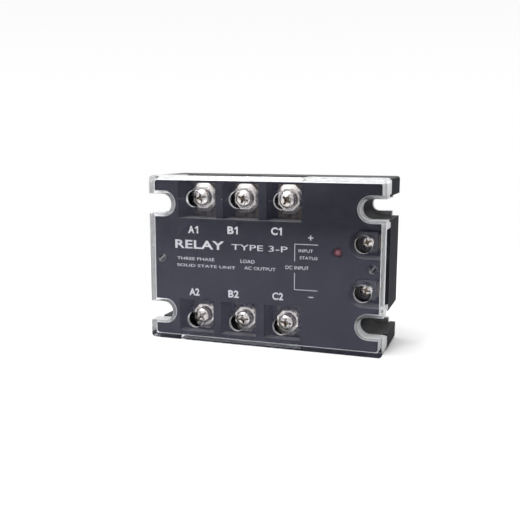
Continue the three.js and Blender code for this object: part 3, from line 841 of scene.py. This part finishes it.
def housing():
    """The moulding: a full-size body, a stepped-in front block, pockets and inner rooms."""
    notch_step = COVER.notch_skirt + GAP
    body_front = COVER.skirt + GAP
    block = slab(relay_outline(HOUSING.inset, HOUSING.corner, NOTCH.block), HOUSING.front,
                 notch_step + GAP)
    neck = slab(relay_outline(HOUSING.inset, HOUSING.corner, NOTCH.body), notch_step,
                body_front + GAP)
    body = slab(relay_outline(0, HOUSING.corner, NOTCH.body), body_front, HOUSING.back)
    solid = union(body, neck, block)
    past = HOUSING.back + OVERCUT
    before = HOUSING.front - OVERCUT
    room = HOUSING.room_half_height
    rooms = [
        slab(relay_outline(HOUSING.wall, PLATE.room_corner), PLATE_FRONT - GAP, past),
        box(-HOUSING.sleeve, HOUSING.room_right, HOUSING.room_front, past,
            MIDDLE - room, MIDDLE + room),
        box(-HOUSING.sleeve, HOUSING.sleeve, HOUSING.hollow_front, past,
            HOUSING.wall, HEIGHT - HOUSING.wall),
        box(ROW_LEFT, ROW_RIGHT, before, POWER.barrier_front,
            MIDDLE + POCKET_WALL, HEIGHT + OVERCUT)]
    side_hollows = [
        box(side * NOTCH.centre - SIDE_HOLLOW.inner, side * NOTCH.centre + SIDE_HOLLOW.outer,
            CONTROL.floor + HOUSING.wall, past,
            MIDDLE - SIDE_HOLLOW.half_height, MIDDLE + SIDE_HOLLOW.half_height)
        for side in (-1, 1)]
    pockets = [cutter for t in POWER_TERMINALS for cutter in power_pocket(t)]
    pockets += [cutter for t in CONTROL_TERMINALS for cutter in control_pocket(t)]
    bores = [cylinder(side * PEG.x, MIDDLE, PEG.hole, before, PEG.hole_bottom)
             for side in (-1, 1)]
    bores.append(cylinder(LED.x, LED.z, LED.hole, before, HOUSING.room_front + OVERCUT))
    bores += [cylinder(t.x, t.z, FIXING.shank_radius + GAP, FIXING.tip - GAP, past)
              for t in FIXINGS]
    return softened(cut(solid, *rooms, *side_hollows, *pockets, *bores), SOFT.housing)


def nut_well(size):
    """Cutters for the room of a captive nut and of the screw's end behind it."""
    return [slab(hexagon(size.nut_flats + 2 * GAP), size.floor - GAP,
                 size.floor + size.nut_thickness + GAP),
            cylinder(0, 0, size.shank_radius + 2 * GAP, size.floor, size.well_bottom, sides=32)]


def power_pocket(terminal):
    """Cutters for a pocket that is open to the front and to the nearer long edge.

    A low lip at the front crosses the open end of each lower pocket.
    """
    half = POWER.pocket / 2
    edge = HEIGHT / 2 - POWER.from_middle + OVERCUT
    front = HOUSING.front - OVERCUT
    open_front = edge if terminal.side > 0 else POWER.lip
    cutters = [
        box(-half, half, front, POWER.floor, -POWER.pocket_end, open_front),
        box(-half, half, POWER.lip_back, POWER.floor, -POWER.pocket_end, edge),
        *nut_well(POWER),
        box(-BAR.width / 2 - GAP, BAR.width / 2 + GAP, BAR.front - GAP, POWER.floor,
            -POWER.from_middle + HOUSING.room_half_height - OVERCUT, 0)]
    turn = 0 if terminal.side > 0 else 180
    return [at(spun(cutter, turn), terminal.x, terminal.z) for cutter in cutters]


def control_pocket(terminal):
    """Cutters for a round-ended pocket that is open to the front and to the right edge."""
    radius, floor = CONTROL.pocket_radius, CONTROL.floor
    edge = WIDTH / 2 - CONTROL.x + OVERCUT
    half_strip = CONTROL.strip_width / 2 + GAP
    cutters = [
        slab([*arc(0, 0, radius, 90, 270, 32), (edge, -radius), (edge, radius)],
             HOUSING.front - OVERCUT, floor),
        *nut_well(CONTROL),
        box(HOUSING.room_right - CONTROL.x - OVERCUT, 0, floor - CONTROL.strip_thickness - 2 * GAP,
            floor, -half_strip, half_strip)]
    return [at(cutter, terminal.x, terminal.z) for cutter in cutters]


def base_plate():
    """The metal base: open slots with sunk seats, and countersinks in its back."""
    blank = slab(relay_outline(PLATE.inset, PLATE.corner, PLATE.slot, PLATE.slot_centre),
                 PLATE_FRONT, DEPTH)
    seats = notch_cutters(PLATE.seat, PLATE_FRONT - OVERCUT, PLATE_FRONT + PLATE.seat_depth)
    hole, rim = FIXING.shank_radius + GAP, FIXING.head_radius + GAP
    countersinks = [
        at(turned([(0, PLATE_FRONT - OVERCUT), (hole, PLATE_FRONT - OVERCUT),
                   (hole, DEPTH - FIXING.head_depth - GAP), (rim, DEPTH - GAP),
                   (rim, DEPTH + OVERCUT), (0, DEPTH + OVERCUT)]), t.x, t.z)
        for t in FIXINGS]
    return softened(cut(blank, *seats, *countersinks), SOFT.base_plate)


def rear_screw():
    """A countersunk cross-recess screw that holds the base plate to the housing."""
    head = DEPTH - GAP
    start = head - FIXING.head_depth
    neck, edge = start - FIXING.neck_length, FIXING.edge
    body = turned([
        (0, neck), (FIXING.shank_radius, neck), (FIXING.shank_radius, start),
        (FIXING.head_radius, head - GAP), (FIXING.head_radius, head - edge),
        (FIXING.head_radius - edge, head), (0, head)])
    recess = loft(cross(FIXING.recess_reach, FIXING.recess_half_width),
                  [(FIXING.recess_floor, head - FIXING.recess_depth),
                   (FIXING.recess_mouth, head + OVERCUT)])
    thread = moved(threaded_rod(FIXING.shank_radius, FIXING.pitch, 0, start - FIXING.tip),
                   Matrix.Translation((0, 2 * FRONT + start, 0)) @ Matrix.Scale(-1, 4, (0, 1, 0)))
    return cut(union(body, thread), recess)


place(base_plate(), "base_plate_fine", "aluminium_plate", "relay", ["base_plate"])
place(housing(), "housing_fine", "charcoal_plastic", "relay", ["housing"])
place(clear_cover(), "front_cover_fine", "clear_plastic", "cover", ["front_cover"])


# ---------------- terminals

def terminal_screw(size):
    """A pan-head screw with a combined cross and slot recess and a real thread."""
    neck_radius = size.shank_radius - SCREW.neck
    neck_end = size.head_back + SCREW.neck_length
    head = turned([
        *dome(size.head_radius, size.head_front, SCREW.dome),
        (size.head_radius, size.head_back - SCREW.edge),
        (size.head_radius - SCREW.edge, size.head_back),
        (neck_radius, size.head_back), (neck_radius, neck_end), (0, neck_end)])
    half, half_width = size.recess / 2, size.recess_width / 2
    floor = size.head_front + size.recess_depth
    front = size.head_front - OVERCUT
    recess = loft(cross(half, half_width), [(SCREW.cross_mouth, front), (SCREW.cross_floor, floor)])
    slot_floor = size.head_front + SCREW.slot_depth
    slot = loft(centred(half * SCREW.slot_reach, half_width),
                [(-SCREW.slot_taper, front), (SCREW.slot_taper, slot_floor)])
    centre = turned([
        (0, front), (half * SCREW.cone_mouth, front),
        (half * SCREW.cone_bottom, floor - SCREW.cone_start), (0, floor + SCREW.cone_point)], 32)
    thread = threaded_rod(size.shank_radius, size.pitch, size.head_back + SCREW.neck,
                          size.shank_end)
    screw = cut(union(head, thread), recess, slot, centre)
    return softened(screw, SOFT.screw, sharper_than=45)


def spring_washer(steps=56):
    """A split washer: one turn of rectangular wire that climbs by less than its thickness."""
    sections = []
    for share in (i / steps for i in range(steps + 1)):
        angle = radians(WASHER.split / 2 + (360 - WASHER.split) * share)
        front = WASHER.front + WASHER.rise * share
        back = front + WASHER.thickness
        edge = WASHER.outer - WASHER.corner
        wire = [(WASHER.inner, front), (edge, front), (WASHER.outer, front + WASHER.corner),
                (WASHER.outer, back - WASHER.corner), (edge, back), (WASHER.inner, back)]
        sections.append([(r * cos(angle), depth, r * sin(angle)) for r, depth in wire])
    return stacked(sections)


def clamp_plate():
    """An octagonal plate with a sloping border, a cup for the screw and grooves underneath."""
    sides = 8
    outline = polygon(CLAMP.flats / 2 / cos(pi / sides), sides, start=180 / sides)
    slope = (CLAMP.flats - CLAMP.land_flats) / 2
    blank = loft(outline, [(slope, CLAMP.front), (0, CLAMP.shoulder), (0, CLAMP.back)])
    cup = turned([(0, CLAMP.front - OVERCUT), (CLAMP.cup, CLAMP.front - OVERCUT),
                  (CLAMP.cup, CLAMP.cup_floor), (0, CLAMP.cup_floor)])
    hole = cylinder(0, 0, CLAMP.hole, CLAMP.front, CLAMP.back + OVERCUT)
    plate = cut(blank, cup, hole, *grooves(CLAMP, CLAMP.flats, CLAMP.back))
    return softened(plate, SOFT.clamp)


def grooves(size, reach, back):
    """Cutters for the grooves across the back of a clamp plate."""
    return [slab(centred(reach, size.groove, z=z), back - size.groove_depth, back + OVERCUT)
            for z in size.grooves]


def hex_nut(size):
    """A hexagon nut, chamfered on both faces, with a threaded bore."""
    front, back = size.floor, size.floor + size.nut_thickness
    nut = slab(hexagon(size.nut_flats), front, back)
    corner = size.nut_flats / sqrt(3)
    face = size.nut_flats / 2 * NUT_CHAMFER.face
    barrel = turned([(0, front), (face, front), (corner, front + NUT_CHAMFER.depth),
                     (corner, back - NUT_CHAMFER.depth), (face, back), (0, back)], 60)
    combine(nut, [barrel], "INTERSECT")
    bore = threaded_rod(size.shank_radius + GAP, size.pitch, front - OVERCUT, back + 2 * OVERCUT)
    return cut(nut, bore)


def contact_bar():
    """Flat under the clamp, then down to a foot that stands on a thyristor chip."""
    half = BAR.width / 2
    leg_outer = BAR.leg_height + BAR.thickness - POWER.from_middle
    leg_inner = leg_outer - BAR.thickness
    foot_end = leg_outer - BAR.foot
    bar = union(
        box(-half, half, BAR.front, BAR.front + BAR.thickness, leg_inner, BAR.outer_end),
        box(-half, half, BAR.front, BAR.back, leg_inner, leg_outer),
        box(-half, half, BAR.back - BAR.thickness, BAR.back, foot_end, leg_outer))
    cut(bar, cylinder(0, 0, BAR.hole, BAR.front - OVERCUT, BAR.front + 2 * BAR.thickness))
    return softened(bar, SOFT.bar, segments=3)


def control_clamp_plate():
    half = CONTROL.plate / 2
    front = CONTROL.head_back + GAP
    back = front + CONTROL.plate_thickness
    plate = slab(centred(half, half, CONTROL_CLAMP.corner), front, back)
    cut(plate, cylinder(0, 0, CONTROL.plate_hole, front - OVERCUT, back + OVERCUT),
        *grooves(CONTROL_CLAMP, half + OVERCUT, back))
    return softened(plate, SOFT.control_clamp)


def control_strip():
    """Flat under the clamp, then forward to the back of the control board."""
    half = CONTROL.strip_width / 2
    back = CONTROL.floor - GAP
    front = back - CONTROL.strip_thickness
    inner = CONTROL.strip_inner - CONTROL.x
    board_back = BOARD.front + BOARD.thickness + GAP
    strip = union(
        box(inner, CONTROL.strip_outer, front, back, -half, half),
        box(inner, inner + CONTROL.strip_thickness, board_back, back, -half, half))
    cut(strip, cylinder(0, 0, CONTROL.strip_hole, front - OVERCUT, back + OVERCUT))
    return softened(strip, SOFT.strip, segments=3)


repeat(lambda: terminal_screw(POWER), "screw", "power_screw", POWER_TERMINALS, POWER_DRIVE_TURNS)
repeat(spring_washer, "spring_washer", "spring_steel", POWER_TERMINALS, WASHER_TURNS)
repeat(clamp_plate, "clamp_plate", "nickel", POWER_TERMINALS)
repeat(contact_bar, "contact_bar", "brass", POWER_TERMINALS)
repeat(lambda: hex_nut(POWER), "nut", "nickel", POWER_TERMINALS)
repeat(lambda: terminal_screw(CONTROL), "screw", "control_screw", CONTROL_TERMINALS,
       CONTROL_DRIVE_TURNS)
repeat(control_clamp_plate, "clamp_plate", "blackened_steel", CONTROL_TERMINALS)
repeat(control_strip, "control_strip", "brass", CONTROL_TERMINALS)
repeat(lambda: hex_nut(CONTROL), "nut", "nickel", CONTROL_TERMINALS)
repeat(rear_screw, "rear_screw", "nickel", FIXINGS, FIXING_DRIVE_TURNS)


# ---------------- sealed inner parts

def control_board():
    back = BOARD.front + BOARD.thickness
    board = slab(centred(BOARD.half_width, BOARD.half_height, BOARD.corner, z=MIDDLE),
                 BOARD.front, back)
    drills = [cylinder(x + dx, MIDDLE + dz, BOARD.drill, BOARD.front - OVERCUT, back + OVERCUT, 16)
              for x in POWER.columns.values()
              for dx in BOARD.drill_columns for dz in BOARD.drill_rows]
    return softened(cut(board, *drills), SOFT.board)


def board_parts():
    """Resistors and capacitors on the front of the control board, in columns by each phase."""
    size = BOARD_PART
    parts = []
    for x in POWER.columns.values():
        for from_middle in size.heights:
            for side, width in size.widths.items():
                outline = centred(width / 2, size.half_height, size.edge,
                                  x + side * size.from_phase, MIDDLE + from_middle)
                parts.append(slab(outline, BOARD.front - size.thickness, BOARD.front - TOUCH,
                                  round_front=size.edge))
    return joined(parts)


def optocoupler():
    back = BOARD.front - GAP
    half_width, half_height = OPTO.width / 2, OPTO.height / 2
    body = loft(centred(half_width, half_height, OPTO.corner),
                [(OPTO.front_draft, back - OPTO.thickness), (0, back - OPTO.thickness / 2),
                 (OPTO.back_draft, back)])
    front = back - OPTO.thickness
    dimple = cylinder(DIMPLE.from_left - half_width, half_height - DIMPLE.from_top, DIMPLE.radius,
                      front - OVERCUT, front + DIMPLE.depth, 24)
    return softened(cut(body, dimple), SOFT.optocoupler)


def optocoupler_legs():
    """Six flat legs that step out of the body and down through the board."""
    edge = OPTO.width / 2
    root, knee, end = edge - LEG.root, edge + LEG.reach - LEG.thickness, edge + LEG.reach
    legs = []
    for side in (-1, 1):
        for z in LEG.rows:
            shelf = box(*sorted((side * root, side * end)), LEG.front, LEG.front + LEG.thickness,
                        z - LEG.half_width, z + LEG.half_width)
            foot = box(*sorted((side * knee, side * end)), LEG.front, BOARD.front - 2 * TOUCH,
                       z - LEG.foot_half_width, z + LEG.foot_half_width)
            legs.append(union(shelf, foot))
    return joined(legs)


def status_led():
    back = BOARD.front - GAP
    return turned([*dome(LED.radius, LED.front, LED.radius),
                   (LED.radius, back - LED.flange_height),
                   (LED.flange - LED.edge, back - LED.flange_height),
                   (LED.flange, back - LED.flange_height + LED.edge), (LED.flange, back),
                   (0, back)])


def substrate():
    back = PLATE_FRONT - GAP
    outline = centred(SUBSTRATE.width / 2, SUBSTRATE.height / 2, SUBSTRATE.corner)
    return softened(slab(outline, back - SUBSTRATE.thickness, back), SOFT.substrate)


def thyristor_chip():
    """A square wafer with bevelled sides, as cut from the slice."""
    back = PLATE_FRONT - 2 * GAP - SUBSTRATE.thickness
    return loft(centred(CHIP.side / 2, CHIP.side / 2, CHIP.corner),
                [(CHIP.bevel, back - CHIP.thickness), (0, back - CHIP.edge), (0, back)])


place(control_board(), "control_board_fine", "circuit_board", "relay", ["control_board"])
place(board_parts(), "board_parts", "epoxy", "relay")
place(status_led(), "status_led_fine", "red_lens", "relay", ["status_led"], LED.x, LED.z)
repeat(optocoupler, "optocoupler", "epoxy", PHASES)
repeat(substrate, "substrate", "ceramic", PHASES)
repeat(thyristor_chip, "thyristor", "silicon", CHIPS)
for phase in PHASES:
    place(optocoupler_legs(), f"optocoupler_legs_{phase.name}", "nickel", "relay",
          x=phase.x, z=phase.z)


# ---------------- printing on the housing

INK = 0.04                    # thickness of the ink
MARK = Sizes(width=4.9, height=3.3, letter=2.9, space=0.4, bold=0.03)
BRACKET = Sizes(line=0.24, left=14.5, right=24.7, low=26.4, top=46, open_low=33.6, open_top=38.6)

# The middle of each terminal's mark.
TERMINAL_MARKS = dict(A1=(-32.2, 50.3), B1=(-13.5, 50.7), C1=(6.5, 51.1), A2=(-32.0, 22.2),
                      B2=(-13.2, 22.5), C2=(7.2, 22.9))

# The left, right, low and high sides of the strokes of plus and minus.
SIGNS = [(20.4, 22.6, 48.7, 49.1), (21.3, 21.7, 47.8, 50.0), (20.9, 23.1, 23.3, 23.7)]

# Each line of words with its left, right, low and high sides.
WORDS = [
    ("INPUT", 16.3, 22.6, 42.6, 43.9),
    ("STATUS", 16.8, 24.6, 39.6, 40.9),
    ("RELAY", -41.1, -17.7, 41.8, 45.6, 0.02),
    ("TYPE 3-P", -14.1, 11.4, 42.2, 44.7),
    ("THREE PHASE", -40.2, -22.2, 36.6, 37.9),
    ("SOLID STATE UNIT", -40.3, -12.3, 33.6, 34.8),
    ("LOAD", -9.9, -3.4, 36.6, 38.1),
    ("AC OUTPUT", -8.1, 6.1, 33.8, 35.2),
    ("DC INPUT", 10.6, 20.8, 35.1, 36.6)]


def lettering(text, left, right, low, high, bold=0.0):
    """Ink letters that fill a rectangle on the housing's front."""
    curve = bpy.data.curves.new("text", "FONT")
    curve.body = text
    curve.offset = bold
    curve.space_character = 1.0 + 2 * bold
    curve.extrude = 0.5
    curve.resolution_u = 4
    source = linked(bpy.data.objects.new("text", curve))
    mesh = baked(source)
    bpy.data.objects.remove(source)
    xs, ys = [v.co.x for v in mesh.vertices], [v.co.y for v in mesh.vertices]
    across = (right - left) / (max(xs) - min(xs))
    upward = (high - low) / (max(ys) - min(ys))
    for v in mesh.vertices:
        x, y, front = v.co
        v.co = (left + (x - min(xs)) * across, FRONT + HOUSING.front - INK * (0.5 + front),
                low + (y - min(ys)) * upward)
    return linked(bpy.data.objects.new("text", mesh))


def ink_line(left, right, low, high):
    return box(left, right, HOUSING.front - INK, HOUSING.front, low, high)


def digit_one(left, low, height):
    """A plain 1 with a flag at its top."""
    shape = [(0.24, 0), (0.45, 0), (0.45, 1), (0.29, 1), (0, 0.8), (0, 0.6), (0.24, 0.75)]
    return slab([(left + x * height, low + z * height) for x, z in shape],
                HOUSING.front - INK, HOUSING.front)


def terminal_mark(text, x, z):
    left, right = x - MARK.width / 2, x + MARK.width / 2
    low, high = z - MARK.height / 2, z + MARK.height / 2
    if not text.endswith("1"):
        return [lettering(text, left, right, low, high, MARK.bold)]
    letter_end = left + MARK.letter
    return [lettering(text[0], left, letter_end, low, high, MARK.bold),
            digit_one(letter_end + MARK.space, low, MARK.height)]


def bracket():
    """The bracket round the control side, open in the middle of its upright."""
    left, right, low, top = BRACKET.left, BRACKET.right, BRACKET.low, BRACKET.top
    half = BRACKET.line / 2
    return [ink_line(left, right, top - half, top + half),
            ink_line(left, left + BRACKET.line, BRACKET.open_top, top),
            ink_line(left, left + BRACKET.line, low, BRACKET.open_low),
            ink_line(left, right, low - half, low + half)]


def printing():
    """Terminal marks, the bracket round the control side, and generic words."""
    marks = [mark for text, place in TERMINAL_MARKS.items() for mark in terminal_mark(text, *place)]
    marks += bracket()
    marks += [ink_line(*sign) for sign in SIGNS]
    marks += [lettering(*words) for words in WORDS]
    return joined(marks)


place(printing(), "front_printing", "white_ink", "relay")


# ---------------- stage, light and camera

# Lengths and places here are in metres.
FLOOR = Sizes(radius=3, sides=96, drop=0.05 * MM)
CAMERA = Sizes(azimuth=18.87, elevation=8.97, roll=0.18, place=(0.0955, -0.2990, 0.0854),
               lens=48.41, sensor=36, clip=(0.01, 20))


def floor():
    """A pale floor: it fades into the backdrop behind, and painted shade darkens it away to the
    front right.
    """
    bm = bmesh.new()
    bmesh.ops.create_circle(bm, cap_ends=True, radius=FLOOR.radius, segments=FLOOR.sides)
    obj = new_object("floor", bm)
    pale, painted_floor_shade = (0.86, 0.86, 0.86), (0.18, 0.18, 0.19)
    s = Surface("floor_paint", pale, 0.6, Specular_IOR_Level=0.2)
    x, y = s.part(s.place, "X"), s.part(s.place, "Y")
    behind = s.times(s.spread(s.length(x, y), 0.17, 0.42), s.spread(y, -0.05, 0.1))
    # Painted shade: away to the front right the floor is painted darker, as if less light fell
    # there.
    ahead = s.times(s.spread(y, -0.18, -0.5), s.spread(x, -0.4, -0.16))
    s.set(Base_Color=s.mix(ahead, pale, painted_floor_shade), Alpha=s.rest(behind))
    s.bump(s.noise(3, 3), 0.05, 0.1)
    obj.data.materials.append(s.material)
    obj.location.z = -FLOOR.drop


def surroundings():
    """A white studio behind the relay, open and bright to the front left, darker elsewhere."""
    world = bpy.data.worlds.new("studio")
    bpy.context.scene.world = world
    world.use_nodes = True
    s = Nodes(world.node_tree)
    direction = s.node("TexCoord").outputs["Generated"]

    def blend(axis, start, end, first, second):
        """From the first colour to the second as the direction turns along an axis."""
        return s.mix(s.spread(s.part(direction, axis), start, end, smooth=True), first, second)

    card = blend("X", 0.2, 0.55, (0.16, 0.165, 0.19), (0.6, 0.61, 0.66))
    low_front = blend("X", -0.12, -0.42, card, (0.66, 0.69, 0.84))
    front = blend("Z", 0.1, 0.35, low_front, (1, 0.99, 0.98))
    flagged = blend("X", 0.06, 0.34, (1, 1, 1), (0.45, 0.45, 0.48))
    lit_side = blend("X", 0.72, 0.95, flagged, (0.9, 0.9, 0.92))
    back = blend("Z", 0.05, 0.4, lit_side, (0.9, 0.9, 0.9))
    sky = blend("Y", -0.45, 0.0, front, back)
    s.fill(s.tree.nodes["Background"], Color=sky, Strength=1.0)


def lamp(name, place, size, watts, target=(0, 0, 0.035)):
    light = bpy.data.lights.new(name, "AREA")
    light.shape = "DISK"
    light.size = size
    light.energy = watts
    obj = linked(bpy.data.objects.new(name, light))
    obj.location = place
    aim = Vector(target) - Vector(place)
    obj.rotation_euler = aim.to_track_quat("-Z", "Y").to_euler()


def camera():
    """Looks down at the front from the right, at the angle of the photograph."""
    azimuth, elevation, roll = (
        radians(angle) for angle in (CAMERA.azimuth, CAMERA.elevation, CAMERA.roll))
    data = bpy.data.cameras.new("camera")
    data.sensor_width = CAMERA.sensor
    data.lens = CAMERA.lens
    data.clip_start, data.clip_end = CAMERA.clip
    back = Vector((sin(azimuth) * cos(elevation),
                   -cos(azimuth) * cos(elevation), sin(elevation)))
    right = Vector((cos(azimuth), sin(azimuth), 0))
    up = back.cross(right)
    leaning_right = cos(roll) * right + sin(roll) * up
    leaning_up = cos(roll) * up - sin(roll) * right
    turn = Matrix((leaning_right, leaning_up, back)).transposed()
    obj = linked(bpy.data.objects.new("camera", data))
    obj.matrix_world = Matrix.Translation(CAMERA.place) @ turn.to_4x4()
    bpy.context.scene.camera = obj


floor()
surroundings()
lamp("overhead", (-0.15, -0.12, 0.9), 0.7, 5.2)
lamp("front left", (-0.35, -0.75, 0.6), 0.16, 2.5)
camera()

scene = bpy.context.scene
scene.view_settings.view_transform = "Standard"
scene.cycles.max_bounces = 20
scene.cycles.transmission_bounces = 16
scene.cycles.transparent_max_bounces = 16
scene.cycles.caustics_reflective = False
